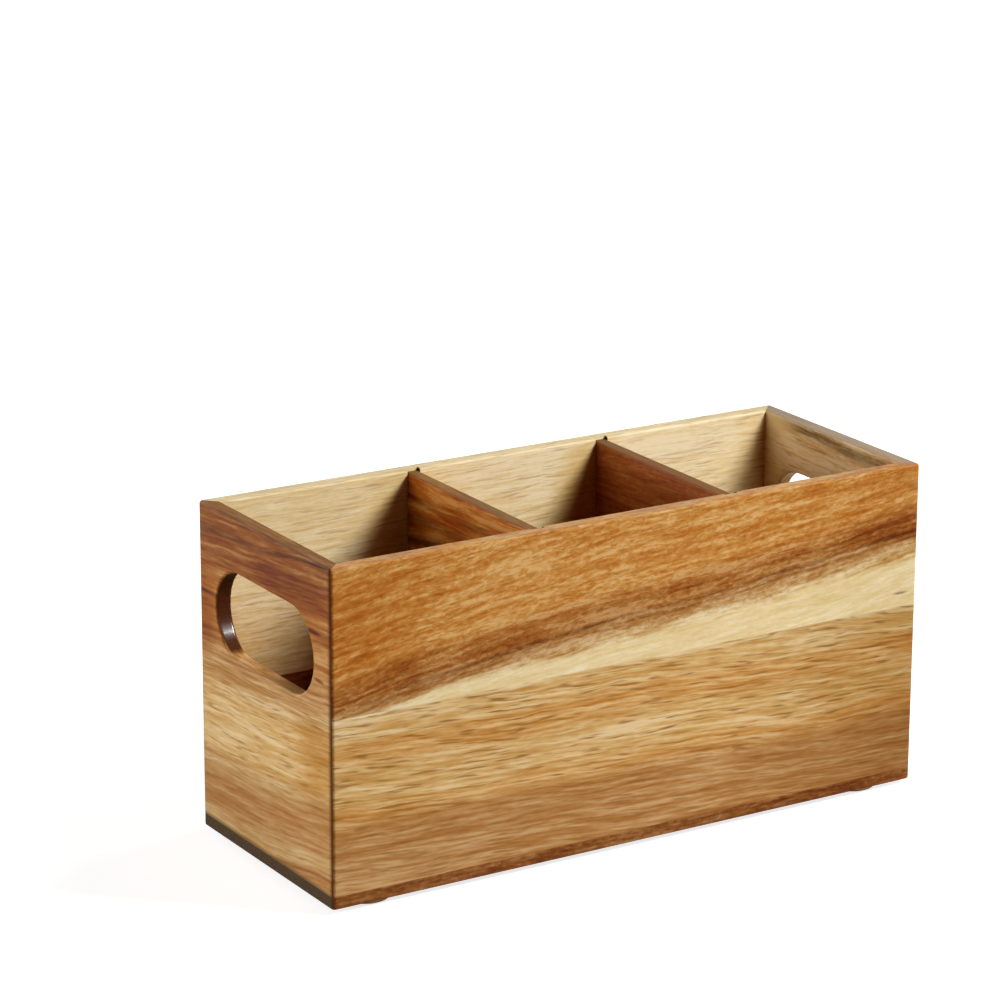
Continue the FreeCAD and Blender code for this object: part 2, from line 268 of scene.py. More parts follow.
def bands(tree, height, stops):
    """Tones laid one above the other: stops are (height in millimetres, tone name)."""
    tones = bpy.context.scene.caddy_timber
    low, high = stops[0][0], stops[-1][0]
    share = add(tree, "MapRange", {0: height, 1: low, 2: high})
    ramp = add(tree, "ValToRGB", {0: share})
    knots = ramp.node.color_ramp.elements
    while len(knots) < len(stops):
        knots.new(0.5)
    for knot, (place, _) in zip(knots, stops):
        knot.position = (place - low) / (high - low)
    for knot, (_, tone) in zip(knots, stops):
        knot.color = (*getattr(tones, tone), 1.0)
    return ramp


def tone_of(name):
    """One of the timber's tones as a colour with alpha."""
    return (*getattr(bpy.context.scene.caddy_timber, name), 1.0)


def blend(tree, share, first, second):
    """Mixes two colours, sockets or values alike."""
    return add(tree, "Mix", {0: share, 6: first, 7: second}, out=2, data_type="RGBA")


def oval(tree, spot, face, place, level, reach, spread):
    """1 in the middle of an oval on one face of a board, falling to 0 at its edge, reach along and spread up
    from there, and OVAL_DEPTH into the wood."""
    across = add(
        tree,
        "Mapping",
        {
            0: spot,
            1: (-place / reach, -level / spread, -face / OVAL_DEPTH),
            3: (1 / reach, 1 / spread, 1 / OVAL_DEPTH),
        },
    )
    away = add(tree, "VectorMath", {0: across}, out="Value", operation="LENGTH")
    return above(tree, away, 1.0, OVAL_CORE)


# How the figure lies in the timber. Lengths are in millimetres, and noise mostly lies between -2 and 2.
LEVEL = [(-130, 0), (130, 0)]
SEED_STEPS = (7.31, 3.17, 5.53)  # shift of the noise for each step of its seed
DRIFT = (70, 22)  # length and width of the slow waves of the rings
WAVES = (13, 5)  # length and width of the small waves of the rings
RIPPLE = 0.22  # rise of the rings with the small waves
RING_TILT = 0.15  # rise of the rings for each millimetre into the wood
SAP_BLUR = 2.4  # half the width of the soft border between sapwood and heartwood
SAP_EDGE = (0.9, 0.5, 0.5)  # how far fine grain, small waves and long streaks shift that border
SAP_FIGURE = 0.4  # share of the figure that the sapwood keeps
SAP_GRAIN = (0.12, 0.08)  # fine grain and long streaks added over a strip that has sapwood
LINE_GAP = -1.6  # noise below which an ordinary ring line fades out
STRONG_LINE_GAP = -3.2  # the same for a ring line of more than full strength
LINE_FADE = 2.1  # noise over which it comes back
LINE_STRETCH = (30, 9)  # length and width of the stretches where a ring line shows or fades
LINE_FRAY = 0.25  # how far fine grain shifts the edge of a ring line
PORE_NOISE = (0.1, 1.4)  # noise at which a pore begins and at which it is full
TONE_POWERS = (0.7, 3.5)  # the palest and the deepest that a tone is drawn
OVAL_DEPTH = 5.0  # how far a patch or a mark reaches into the wood
OVAL_CORE = 0.2  # share of the way to its edge over which it is full
GLUE_BLUR = 0.25  # half the width of a glue line
ARRIS_SOAK = 0.2  # how much more oil an upright arris drinks
RIM_DRIFT = 0.13  # how much the painted sheen on a rim varies
RIM_BAND = (2, 1)  # distances below the top where a rim begins and is full
END_SPECK = (0.7, 0.1)  # size and strength of the specks on end grain
PORE_DEPTH = 0.12  # hollow of an open pore
PORE_BUMP = 0.35  # how strongly that hollow shades
GRAIN_RELIEF = 0.15  # height of the fine grain against that hollow
PORE_DULL = 0.12  # how much rougher an open pore is
GRAIN_DULL = 0.02  # the same for the fine grain
OIL_IOR = 1.47
OIL_SHINE = 0.07
OIL_POOL = (80.5, 82.5, 87.5, 90)  # heights where a pool of oil in a hand hole begins, is full, and ends
POOL_ROUGHNESS = 0.17

# Parts of the normal at which a face begins to count and counts in full: cut across the grain, flat towards
# an axis, as the product of its level parts, rounded at an upright arris, in the wall of a hand hole, and
# at the ends of that hole, where the wall is end grain.
CUT_FACING = (0.3, 0.95)
FLAT_FACING = (0.5, 0.9)
ARRIS_FACING = (0.08, 0.45)
HOLE_FACING = (0.5, 0.2)
HOLE_END_FACING = (0.25, 0.5)

# For each way that the grain runs, the axes along it, up the strip and into the wood.
BOARD_AXES = {"X": (0, 2, 1), "Y": (1, 2, 0), "Z": (2, 0, 1), "base": (0, 1, 2)}


def stave(
    tree,
    spot,
    seed,
    stops,
    slant=LEVEL,
    face=0.0,
    streak=(0.2, 48, 3.0),
    fine=(0.22, 15, 1.15),
    fleck=(0.1, 2.8, 1.25),
    dash=(0.5, 9, 0.85),
    curl=0.2,
    wander=1.0,
    lean=0.0,
    sapwood=None,
    lines=(),
    patches=(),
    marks=(),
    calm=None,
    dull=None,
):
    """One glued strip of a board. Bands of tone follow the slanting ring line, wandering a little.
    Ring lines fade in and out along it. Streaks, fine grain and flecks of curly figure deepen or lighten
    the tone by a power of it, and dashes are the open pores. Each pattern is (strength, length, width).
    The grain climbs by lean against the ring lines. From the first height of calm to its second, the figure
    weakens by its share. Patches deepen or lighten an oval of the strip, and marks blend one towards a tone;
    those that are painted shade or shadow say so where they are listed. Dull is painted shade for light that
    falls off along the strip: the place from which the strip loses brightness, the place where that ends,
    and what is left."""
    axes = add(tree, "SeparateXYZ", {0: spot}).node.outputs
    along, height = axes[0], axes[1]
    depth = add(tree, "Math", {0: axes[2], 1: face}, operation="SUBTRACT")
    drift = mottle(tree, spot, *DRIFT, seed, detail=1.0)
    ripple = mottle(tree, spot, *WAVES, seed + 1, detail=1.0)
    lifted = add(tree, "Math", {0: height, 1: track(tree, along, slant)}, operation="SUBTRACT")
    ring = total(tree, (drift, wander), (ripple, RIPPLE), (lifted, 1.0), (depth, RING_TILT))
    flow = add(tree, "CombineXYZ", {0: along, 1: total(tree, (along, -lean), (ring, 1.0)), 2: depth})
    tone = bands(tree, ring, stops)
    long_streaks = mottle(tree, flow, streak[1], streak[2], seed + 2, detail=2.0)
    fine_grain = mottle(tree, flow, fine[1], fine[2], seed + 3, detail=2.0)
    inside = None
    if sapwood:
        edge = add(tree, "Math", {0: height, 1: track(tree, along, sapwood)}, operation="SUBTRACT")
        edge = total(tree, (edge, 1.0), *zip((fine_grain, ripple, long_streaks), SAP_EDGE))
        inside = above(tree, edge, -SAP_BLUR, SAP_BLUR)
        tone = blend(tree, inside, tone_of("cream"), tone)
    shares = []
    for count, (level, half, strength) in enumerate(lines):
        away = add(tree, "Math", {0: ring, 1: level}, operation="SUBTRACT")
        away = add(tree, "Math", {0: away}, operation="ABSOLUTE")
        gap = STRONG_LINE_GAP if strength > 1 else LINE_GAP
        fades = mottle(tree, flow, *LINE_STRETCH, seed + 7 + count, detail=2.0)
        fades = above(tree, fades, gap, gap + LINE_FADE)
        near = above(tree, total(tree, (away, 1.0), (fine_grain, LINE_FRAY)), half, 0.0)
        shares.append((add(tree, "Math", {0: near, 1: fades}, operation="MULTIPLY"), strength))
    if shares:
        share = add(tree, "Clamp", {0: total(tree, *shares), 1: 0.0, 2: 1.0})
        tone = blend(tree, share, tone, tone_of("umber"))
    flecks = mottle(tree, flow, fleck[1], fleck[2], seed + 5, detail=3.0, twist=curl)
    figure = total(tree, (long_streaks, streak[0]), (fine_grain, fine[0]), (flecks, fleck[0]))
    dashes = mottle(tree, flow, dash[1], dash[2], seed + 4, detail=1.0, rough=0.4, twist=curl)
    dashes = above(tree, dashes, *PORE_NOISE)
    share = add(tree, "Math", {0: dashes, 1: dash[0]}, operation="MULTIPLY")
    if sapwood:
        lively = add(tree, "Math", {0: inside, 1: 1 - SAP_FIGURE, 2: SAP_FIGURE}, operation="MULTIPLY_ADD")
        figure = add(tree, "Math", {0: figure, 1: lively}, operation="MULTIPLY")
        figure = total(tree, (figure, 1.0), *zip((fine_grain, long_streaks), SAP_GRAIN))
        share = add(tree, "Math", {0: share, 1: inside}, operation="MULTIPLY")
    if calm:
        quiet = above(tree, ring, calm[0], calm[1])
        quiet = add(tree, "Math", {0: quiet, 1: -calm[2], 2: 1.0}, operation="MULTIPLY_ADD")
        figure = add(tree, "Math", {0: figure, 1: quiet}, operation="MULTIPLY")
        share = add(tree, "Math", {0: share, 1: quiet}, operation="MULTIPLY")
    terms = [(figure, 1.0)]
    for *where, amount in patches:
        terms.append((oval(tree, spot, face, *where), amount))
    power = add(tree, "Math", {0: total(tree, *terms), 1: 1.0}, operation="ADD")
    power = add(tree, "Clamp", {0: power, 1: TONE_POWERS[0], 2: TONE_POWERS[1]})
    colour = add(tree, "Gamma", {0: tone, 1: power})
    colour = blend(tree, share, colour, tone_of("pore"))
    for *where, stain, amount in marks:
        amount = add(tree, "Math", {0: oval(tree, spot, face, *where), 1: amount}, operation="MULTIPLY")
        colour = blend(tree, amount, colour, tone_of(stain))
    # Painted shade: the strip darkens towards one end, for light that falls off there.
    if dull:
        left = add(tree, "MapRange", {0: along, 1: dull[0], 2: dull[1], 3: 1.0, 4: dull[2]})
        colour = add(tree, "VectorMath", {0: colour, 3: left}, operation="SCALE")
    return colour, dashes, fine_grain


def board(name, along, staves, glue=(), sheen=0.55, cut="bark", hole=None, rim=None, inside=None):
    """Oiled acacia, planed and sanded: cream sapwood against red-brown heartwood under a satin film of oil,
    with fine dark pores in line with the grain. Along is the axis the grain runs on, glue the heights of the
    glue lines, cut the tone of the end grain, hole the lowest and highest level of the smoothly sanded wall
    of a hand hole, and rim the level, tone and share of the top edge, which is blended towards that tone as
    painted sheen and shade. Where a board's inner face is drawn darker as painted shade, to throw less light
    into the compartments, inside is the axis that face looks along and how much deeper it is."""
    # Acacia's pores are about 0.3 mm wide and up to 3 mm long. They and the grain between them are drawn
    # about 1 mm wide and 4 to 12 mm long, because finer ones don't show.
    material, tree, place = start(name)
    axes = add(tree, "SeparateXYZ", {0: place}).node.outputs
    order = BOARD_AXES[along]
    spot = add(tree, "CombineXYZ", {i: axes[k] for i, k in enumerate(order)})
    height = axes[order[1]]
    colour, dashes, grain = stave(tree, spot, **staves[0])
    for line, strip in zip(glue, staves[1:]):
        upper, upper_dashes, upper_grain = stave(tree, spot, **strip)
        side = above(tree, height, line - GLUE_BLUR, line + GLUE_BLUR)
        colour = blend(tree, side, colour, upper)
        dashes = add(tree, "Mix", {0: side, 2: dashes, 3: upper_dashes})
        grain = add(tree, "Mix", {0: side, 2: grain, 3: upper_grain})
    outward = add(tree, "TexCoord", out="Normal")
    facing = add(tree, "VectorMath", {0: outward}, operation="ABSOLUTE")
    facing = add(tree, "SeparateXYZ", {0: facing}).node.outputs
    corner = add(tree, "Math", {0: facing[0], 1: facing[1]}, operation="MULTIPLY")
    corner = above(tree, corner, *ARRIS_FACING)
    soaked = add(tree, "Math", {0: corner, 1: ARRIS_SOAK, 2: 1.0}, operation="MULTIPLY_ADD")
    colour = add(tree, "Gamma", {0: colour, 1: soaked})
    size, strength = END_SPECK
    specks = mottle(tree, place, size, size, 3, detail=1.0)
    specks = add(tree, "Math", {0: specks, 1: strength, 2: 1.0}, operation="MULTIPLY_ADD")
    ends = add(tree, "Gamma", {0: tone_of(cut), 1: specks})
    colour = blend(tree, above(tree, facing[order[0]], *CUT_FACING), colour, ends)
    # Painted sheen and shade: the top edge is blended towards a greyer or darker tone. This stands for the
    # grazing reflection that greys it and dims the light it catches.
    if rim:
        level, shade, share = rim
        rim_sheen_drift = mottle(tree, place, 26, 26, 9)
        share = add(tree, "Math", {0: rim_sheen_drift, 1: RIM_DRIFT, 2: share}, operation="MULTIPLY_ADD")
        upward = above(tree, facing[2], *FLAT_FACING)
        share = add(tree, "Math", {0: upward, 1: share}, operation="MULTIPLY")
        high = above(tree, height, level - RIM_BAND[0], level - RIM_BAND[1])
        share = add(tree, "Math", {0: high, 1: share}, operation="MULTIPLY")
        colour = blend(tree, add(tree, "Clamp", {0: share, 1: 0.0, 2: 1.0}), colour, tone_of(shade))
    # Painted shade: the inner face is drawn deeper so that it throws less light into the compartments.
    if inside:
        inward = add(tree, "SeparateXYZ", {0: outward}, out=inside[0])
        inward = above(tree, inward, *FLAT_FACING)
        deeper = add(tree, "Math", {0: inward, 1: inside[1], 2: 1.0}, operation="MULTIPLY_ADD")
        colour = add(tree, "Gamma", {0: colour, 1: deeper})
    relief = total(tree, (dashes, -1.0), (grain, GRAIN_RELIEF))
    normal = add(tree, "Bump", {"Strength": PORE_BUMP, "Distance": PORE_DEPTH * MM, "Height": relief})
    gloss = total(tree, (dashes, PORE_DULL), (grain, GRAIN_DULL))
    gloss = add(tree, "Math", {0: gloss, 1: sheen}, operation="ADD")
    sealed = {}
    if hole:
        walls = above(tree, facing[order[2]], *HOLE_FACING)
        for end, inward in zip(hole, (1.0, -1.0)):
            within = above(tree, height, end - inward, end)
            walls = add(tree, "Math", {0: walls, 1: within}, operation="MULTIPLY")
        across = above(tree, facing[order[0]], *HOLE_END_FACING)
        dark = add(tree, "Math", {0: walls, 1: across}, operation="MULTIPLY")
        colour = blend(tree, dark, colour, ends)
        low, full, fading, high = OIL_POOL
        pool = add(tree, "Math", {0: walls, 1: above(tree, height, low, full)}, operation="MULTIPLY")
        pool = add(tree, "Math", {0: pool, 1: above(tree, height, high, fading)}, operation="MULTIPLY")
        sealed = {"Coat Weight": pool, "Coat Roughness": POOL_ROUGHNESS}
    shader = add(
        tree,
        "BsdfPrincipled",
        {
            "Base Color": colour,
            "Roughness": gloss,
            "Normal": normal,
            "IOR": OIL_IOR,
            "Specular IOR Level": OIL_SHINE,
            **sealed,
        },
    )
    add(tree, "OutputMaterial", {0: shader})
    return material


def rubber():
    """Moulded brown rubber: matt, soft at its edges, with a faint bloom. The mould leaves pits about 0.1 mm
    wide, which are drawn 0.35 mm wide so that they show."""
    material, tree, spot = start("moulded_brown_rubber")
    bloom = mottle(tree, spot, 4.0, 4.0, 91, detail=3.0)
    pits = mottle(tree, spot, 0.35, 0.35, 92, detail=2.0)
    power = total(tree, (bloom, 0.06), (pits, 0.04))
    power = add(tree, "Math", {0: power, 1: 1.0}, operation="ADD")
    colour = add(tree, "Gamma", {0: (*bpy.context.scene.caddy_fittings.rubber, 1.0), 1: power})
    normal = add(tree, "Bump", {"Strength": 0.4, "Distance": 0.05 * MM, "Height": pits})
    gloss = add(tree, "Math", {0: bloom, 1: 0.04, 2: 0.72}, operation="MULTIPLY_ADD")
    look = {"Base Color": colour, "Roughness": gloss, "Normal": normal, "IOR": 1.52}
    shader = add(tree, "BsdfPrincipled", look)
    add(tree, "OutputMaterial", {0: shader})
    return material


def steel():
    """Bright drawn steel wire: grey and shiny, with lines from the drawing die along each brad, drawn 0.15 mm
    wide where real ones are finer, and dull patches from handling."""
    material, tree, spot = start("bright_drawn_steel")
    axes = add(tree, "SeparateXYZ", {0: spot}).node.outputs
    upright = add(tree, "CombineXYZ", {0: axes[2], 1: axes[0], 2: axes[1]})
    scores = mottle(tree, upright, 6.0, 0.15, 95, detail=2.0)
    dull = mottle(tree, spot, 1.2, 1.2, 96, detail=2.0)
    power = total(tree, (scores, 0.1), (dull, 0.12))
    power = add(tree, "Math", {0: power, 1: 1.0}, operation="ADD")
    colour = add(tree, "Gamma", {0: (*bpy.context.scene.caddy_fittings.steel, 1.0), 1: power})
    gloss = add(tree, "Math", {0: dull, 1: 0.06, 2: 0.34}, operation="MULTIPLY_ADD")
    normal = add(tree, "Bump", {"Strength": 0.3, "Distance": 0.02 * MM, "Height": scores})
    look = {"Base Color": colour, "Roughness": gloss, "Normal": normal, "Metallic": 1.0}
    shader = add(tree, "BsdfPrincipled", look)
    add(tree, "OutputMaterial", {0: shader})
    return material


def dress(node, material):
    """Gives a CAD node's object that material in every slot."""
    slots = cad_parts[node].material_slots
    for slot in slots:
        slot.material = material
    if not slots:
        raise RuntimeError(f"{node} has no material slot")


# Heights are above the floor, in millimetres. Both long boards are glued up from the same two strips,
# and the back one is the other way up.
FRONT_GLUE = 74.5
BACK_GLUE = 58.5
HOLE_LEVELS = (76, 111)
# How much deeper the inner face of the front and the left end is drawn, as painted shade: the darker
# faces throw less light into the compartments, so the shade there comes out deeper.
PAINTED_INNER_SHADE = 0.65
HEART_LINE = [
    (-130, 77.2), (-116, 79.4), (-100, 82.6), (-79, 84.8), (-69, 86.2), (-45, 89), (-32, 90), (-9, 92.4),
    (16, 93.5), (31, 94.6), (44, 95.4), (63, 97.8), (80, 98.8), (94, 100.4), (116, 103.2), (130, 105),
]
SAP_LINE = [
    (-130, 73.5), (-110, 74.8), (-100, 76), (-84, 79.3), (-60, 80.6), (-42, 81.8), (-20, 82.6), (4, 84),
    (22, 86.2), (40, 87.0), (60, 87.8), (76, 90.4), (94, 92.2), (130, 94.6),
]

FRONT_LOWER = {
    "seed": 3,
    "face": FRONT_FACE,
    "stops": [
        (2, "tan"), (6.9, "tan"), (7.3, "russet"), (7.8, "tan"), (29, "tan"), (36, "honey"), (41, "straw"),
        (52, "straw"), (57, "honey"), (63, "honey"), (66, "straw"), (72.5, "straw"), (76, "cream"),
    ],
    "streak": (0.2, 56, 3.2),
    "fine": (0.34, 20, 1.25),
    "fleck": (0.1, 4, 1.0),
    "dash": (0.85, 11, 1.0),
    "calm": (40, 30, 0.24),
    "lean": -0.05,
    "wander": 1.2,
    "patches": [
        (125, 46, 60, 40, 0.28), (55, 52, 60, 14, 0.15), (-130, 44, 60, 20, 0.1), (-115, 14, 80, 12, -0.2),
        (125, 12, 50, 12, 0.08),
    ],
    # Painted shade: darker towards the right end.
    "dull": (40, 130, 0.8),
}
FRONT_UPPER = {
    "seed": 11,
    "slant": HEART_LINE,
    "sapwood": SAP_LINE,
    "face": FRONT_FACE,
    "stops": [
        (-12, "straw"), (-6, "gold"), (-2.4, "tan"), (-0.8, "tan"), (0.8, "russet"), (4.0, "russet"),
        (8, "russet"), (13, "amber"), (60, "amber"),
    ],
    "streak": (0.2, 36, 4.0),
    "fine": (0.12, 11, 1.2),
    "fleck": (0.27, 2.8, 1.2),
    "dash": (0.5, 4.0, 0.9),
    "curl": 0.6,
    "wander": 0.6,
    "lines": [(0.2, 1.5, 0.75), (2.8, 0.9, 0.4), (5.0, 0.9, 0.45), (-2.4, 0.9, 0.35)],
    "patches": [
        (-128, 114, 56, 24, 0.25), (125, 105.5, 46, 7, 0.5), (110, 131, 70, 14, 0.2), (95, 115, 60, 11, 0.15),
        (0, 94, 32, 7, -0.2), (-110, 92.5, 36, 11, 0.32),
    ],
    "marks": [(122.2, 80.1, 5.0, 0.8, "dusk", 0.7)],
    # Painted shade: darker towards the right end.
    "dull": (60, 130, 0.92),
}
BACK_LOWER = {
    "seed": 21,
    "face": BACK_FACE,
    "stops": [(2, "mahogany"), (30, "chestnut"), (60, "mahogany")],
}
BACK_UPPER = {
    "seed": 31,
    "slant": [(-130, -2), (130, 2)],
    "face": BACK_FACE,
    "stops": [(56, "straw"), (80, "straw"), (100, "cream"), (131, "cream")],
    "streak": (0.12, 48, 3.0),
    "fine": (0.24, 17, 1.2),
    "dash": (0.4, 10, 0.75),
    # The second, third and fourth patches are painted shadow: they deepen the inner face left of each divider
    # and of the right end, where those cast their shadows.
    "patches": [
        (50, 126, 110, 32, -0.22), (-43.5, 96, 25, 42, 1.15), (41.5, 98, 26, 44, 1.4),
        (123.5, 96, 22, 45, 0.45), (-100, 80, 40, 22, -0.22),
    ],
}
LEFT_END = {
    "seed": 41,
    "slant": [(-50, 5.2), (-38, 3.9), (-13, 0.8), (8, -1.3), (45, -3.4), (50, -3.7)],
    "face": LEFT_FACE,
    "stops": [
        (2, "tan"), (6.4, "tan"), (7.3, "walnut"), (8.4, "gold"), (13, "gold"), (20, "tan"), (28, "tan"),
        (36, "gold"), (42, "straw"), (60, "straw"), (69, "gold"), (78, "tan"), (90, "russet"),
        (104, "russet"), (118, "walnut"), (140, "walnut"),
    ],
    "streak": (0.2, 60, 3.4),
    "fine": (0.27, 22, 1.3),
    "fleck": (0.08, 4, 1.1),
    "dash": (0.65, 12, 0.95),
    "calm": (42, 30, 0.3),
    "lines": [(126.0, 1.1, 2.0), (100.6, 1.2, 0.8), (97, 0.9, 0.4), (83, 0.9, 0.5)],
    "patches": [
        (-45, 50, 30, 28, 0.35), (-25, 115, 50, 12, 0.4), (48, 88, 16, 22, 0.5), (-40, 62, 26, 14, 0.3),
        (-37, 104.6, 7, 1.3, 1.2), (-41, 87.2, 5, 1.2, 0.9),
    ],
    # The third mark is painted shade: a dark strip down the back edge, on the arris turned away from the
    # light.
    "marks": [
        (0, 7, 400, 1.7, "dusk", 0.8), (-50, 66, 3.2, 400, "umber", 0.75), (50, 45, 2.4, 90, "dusk", 0.7),
    ],
}
RIGHT_END = {
    "seed": 51,
    "slant": [(-50, 1), (-20, -0.5), (10, 0), (50, 2.5)],
    "face": RIGHT_FACE,
    "stops": [
        (2, "tan"), (60, "gold"), (100, "straw"), (119, "straw"), (123.5, "gold"), (126.5, "dusk"),
        (128.5, "dusk"), (131, "gold"), (140, "gold"),
    ],
    "streak": (0.25, 30, 2.5),
    "dash": (0.6, 8, 0.85),
    "lines": [(127.5, 1.4, 0.4), (121.5, 1.0, 0.25)],
    "patches": [(0, 105, 90, 45, -0.2), (44, 108, 26, 40, -0.3)],
    "marks": [(44, 127, 30, 9, "straw", 0.75), (46, 108, 26, 44, "cream", 0.4)],
}
BASE = {
    "seed": 61,
    "face": BASE_MIDDLE,
    "stops": [(-50, "chestnut"), (0, "walnut"), (50, "chestnut")],
    "fleck": (0.2, 2.8, 1.3),
    "patches": [(130, -50, 110, 40, 0.14)],
}
LEFT_DIVIDER = {
    "seed": 71,
    "face": LEFT_DIVIDER_FACE,
    "stops": [(-10, "copper"), (140, "copper")],
    "streak": (0.45, 30, 3.5),
    "wander": 2.5,
    "lines": [(121, 2.5, 0.6), (113.5, 2.0, 0.8), (106, 3.0, 0.8)],
}
RIGHT_DIVIDER = {
    "seed": 81,
    "slant": [(-50, 3), (50, -3)],
    "face": RIGHT_DIVIDER_FACE,
    "stops": [(-10, "mahogany"), (140, "mahogany")],
    "streak": (0.12, 48, 3.0),
    "fine": (0.12, 15, 1.15),
}
TONGUE = {
    "seed": 101,
    "stops": [(-130, "gold"), (0, "straw"), (130, "gold")],
    "fleck": (0.12, 1.5, 0.5),
    "dash": (0.3, 2.0, 0.4),
}


def turned_pad(name, low, high, hollow):
    """A round foot that fills the box from low to high, turned about an upright line. Its profile runs out
    along the underside, where a shallow hollow ends in a smooth step, then round a rim that is half an
    ellipse as high as the pad, and back in along the flat top. Each ring is that profile turned by an
    angle."""
    middle = ((low[0] + high[0]) / 2, (low[1] + high[1]) / 2)
    radius = (high[0] - low[0]) / 2
    thick = high[2] - low[2]
    rim = 0.05 * radius
    first = 0.5
    step_start, step_width = 4.0, 1.2
    out = np.linspace(first, radius - rim, 24)
    step = np.clip((out - step_start) / step_width, 0.0, 1.0)
    under = hollow * (1.0 - step * step * (3.0 - 2.0 * step))
    sweep = np.radians(np.linspace(-90.0, 90.0, 17))[1:-1]
    back = np.linspace(radius - rim, first, 12)
    reach = np.concatenate([out, radius - rim + rim * np.cos(sweep), back])
    level = np.concatenate([under, thick / 2 * (1.0 + np.sin(sweep)), np.full(len(back), thick)])
    turns = 72
    angle = np.linspace(0.0, 2.0 * np.pi, turns, endpoint=False)
    rings = np.stack(
        [
            middle[0] + reach[:, None] * np.cos(angle),
            middle[1] + reach[:, None] * np.sin(angle),
            np.repeat(level[:, None], turns, axis=1),
        ],
        axis=-1,
    ).reshape(-1, 3)
    poles = [(middle[0], middle[1], under[0]), (middle[0], middle[1], thick)]
    points = np.vstack([rings, poles]) * MM
    row = np.arange(len(reach) - 1)[:, None] * turns
    here = np.arange(turns)
    ahead = (here + 1) % turns
    quads = np.stack([row + here, row + ahead, row + turns + ahead, row + turns + here], axis=-1)
    quads = quads.reshape(-1, 4)
    last = (len(reach) - 1) * turns
    low_fan = np.stack([np.full(turns, len(rings)), ahead, here], axis=-1)
    high_fan = np.stack([np.full(turns, len(rings) + 1), last + here, last + ahead], axis=-1)
    mesh = bpy.data.meshes.new(name)
    mesh.from_pydata(points.tolist(), [], quads.tolist() + low_fan.tolist() + high_fan.tolist())
    mesh.polygons.foreach_set("use_smooth", np.ones(len(mesh.polygons), dtype=bool))
    mesh.update()
    pad = bpy.data.objects.new(name, mesh)
    bpy.context.scene.collection.objects.link(pad)
    return pad


# The name of each lamp, its place, width and height in metres, and the property that holds its power.
LAMPS = (
    ("key_lamp", (0.34, -0.36, 0.53), 0.22, 0.22, "key_power"),
    ("side_lamp", (-1.42, 0.34, 0.36), 0.5, 0.5, "side_power"),
    ("back_lamp", (-0.35, 1.5, 0.3), 0.8, 0.3, "back_power"),
    ("right_lamp", (1.5, 0.1, 0.3), 0.8, 0.3, "back_power"),
)
LAMP_AIM = (0, 0, 0.07)
FLOOR_REACH = 12.0
# The floor glows this much near the caddy, and fully white from the second distance on, in millimetres.
NEAR_GLOW = 0.79
GLOW_DISTANCES = (350, 1200)
WHITE = (1.0, 1.0, 1.0, 1.0)


def sees_background(tree):
    """1 for a ray from the camera, off a shiny face or through a clear one, and 0 for any other ray."""
    path = add(tree, "LightPath").node.outputs
    seen = add(tree, "Math", {0: path["Is Camera Ray"], 1: path["Is Glossy Ray"]}, operation="MAXIMUM")
    return add(tree, "Math", {0: seen, 1: path["Is Transmission Ray"]}, operation="MAXIMUM")


def set_floor(look):
    """A flat pale floor, white to the rays that see the background, which takes the caddy's shadow."""
    reach = FLOOR_REACH
    mesh = bpy.data.meshes.new("floor")
    corners = [(-reach, -reach, 0), (reach, -reach, 0), (reach, reach, 0), (-reach, reach, 0)]
    mesh.from_pydata(corners, [], [(0, 1, 2, 3)])
    floor = bpy.data.objects.new("floor", mesh)
    bpy.context.scene.collection.objects.link(floor)
    material, tree, spot = start("pale_paper")
    paper = add(tree, "BsdfDiffuse", {0: (*look.paper, 1.0)})
    seen = sees_background(tree)
    away = add(tree, "VectorMath", {0: spot}, out="Value", operation="LENGTH")
    far = above(tree, away, *GLOW_DISTANCES)
    strength = add(tree, "Math", {0: far, 1: 1 - NEAR_GLOW, 2: NEAR_GLOW}, operation="MULTIPLY_ADD")
    strength = add(tree, "Math", {0: seen, 1: strength}, operation="MULTIPLY")
    glow = add(tree, "Emission", {0: WHITE, 1: strength})
    both = add(tree, "AddShader", {0: paper, 1: glow})
    add(tree, "OutputMaterial", {0: both})
    mesh.materials.append(material)


def set_world(look):
    """Soft light from all round, which looks plain white to the rays that see the background."""
    world = bpy.data.worlds.new("studio")
    bpy.context.scene.world = world
    world.use_nodes = True
    tree = world.node_tree
    tree.nodes.clear()
    seen = sees_background(tree)
    dim = add(tree, "Background", {0: WHITE, 1: look.ambient})
    white = add(tree, "Background", {0: WHITE, 1: 1.0})
    both = add(tree, "MixShader", {0: seen, 1: dim, 2: white})
    add(tree, "OutputWorld", {0: both})


def set_lamp(name, place, width, height, power):
    """A rectangular lamp that faces the middle of the caddy and lights near and far points alike."""
    light = bpy.data.lights.new(name, "AREA")
    light.shape = "RECTANGLE"
    light.size = width
    light.size_y = height
    light.energy = power
    light.use_nodes = True
    tree = light.node_tree
    tree.nodes.clear()
    glow = add(tree, "Emission", {1: add(tree, "LightFalloff", {0: 1.0}, out="Constant")})
    add(tree, "OutputLight", {0: glow})
    holder = bpy.data.objects.new(name, light)
    bpy.context.scene.collection.objects.link(holder)
    aim = Vector(LAMP_AIM) - Vector(place)
    holder.matrix_world = Matrix.Translation(place) @ aim.to_track_quat("-Z", "Y").to_matrix().to_4x4()


def set_camera(look):
    """The camera, turned by its bearing, dip and roll."""
    data = bpy.data.cameras.new("camera")
    data.sensor_width = 36.0
    data.lens = look.focal_length
    data.clip_end = 100.0
    camera = bpy.data.objects.new("camera", data)
    bpy.context.scene.collection.objects.link(camera)
    level = math.cos(look.dip)
    ahead = Vector((math.sin(look.bearing) * level, math.cos(look.bearing) * level, -math.sin(look.dip)))
    turn = ahead.to_track_quat("-Z", "Y").to_matrix().to_4x4()
    roll = Matrix.Rotation(look.roll, 4, "Z")
    camera.matrix_world = Matrix.Translation(look.place) @ turn @ roll
    bpy.context.scene.camera = camera


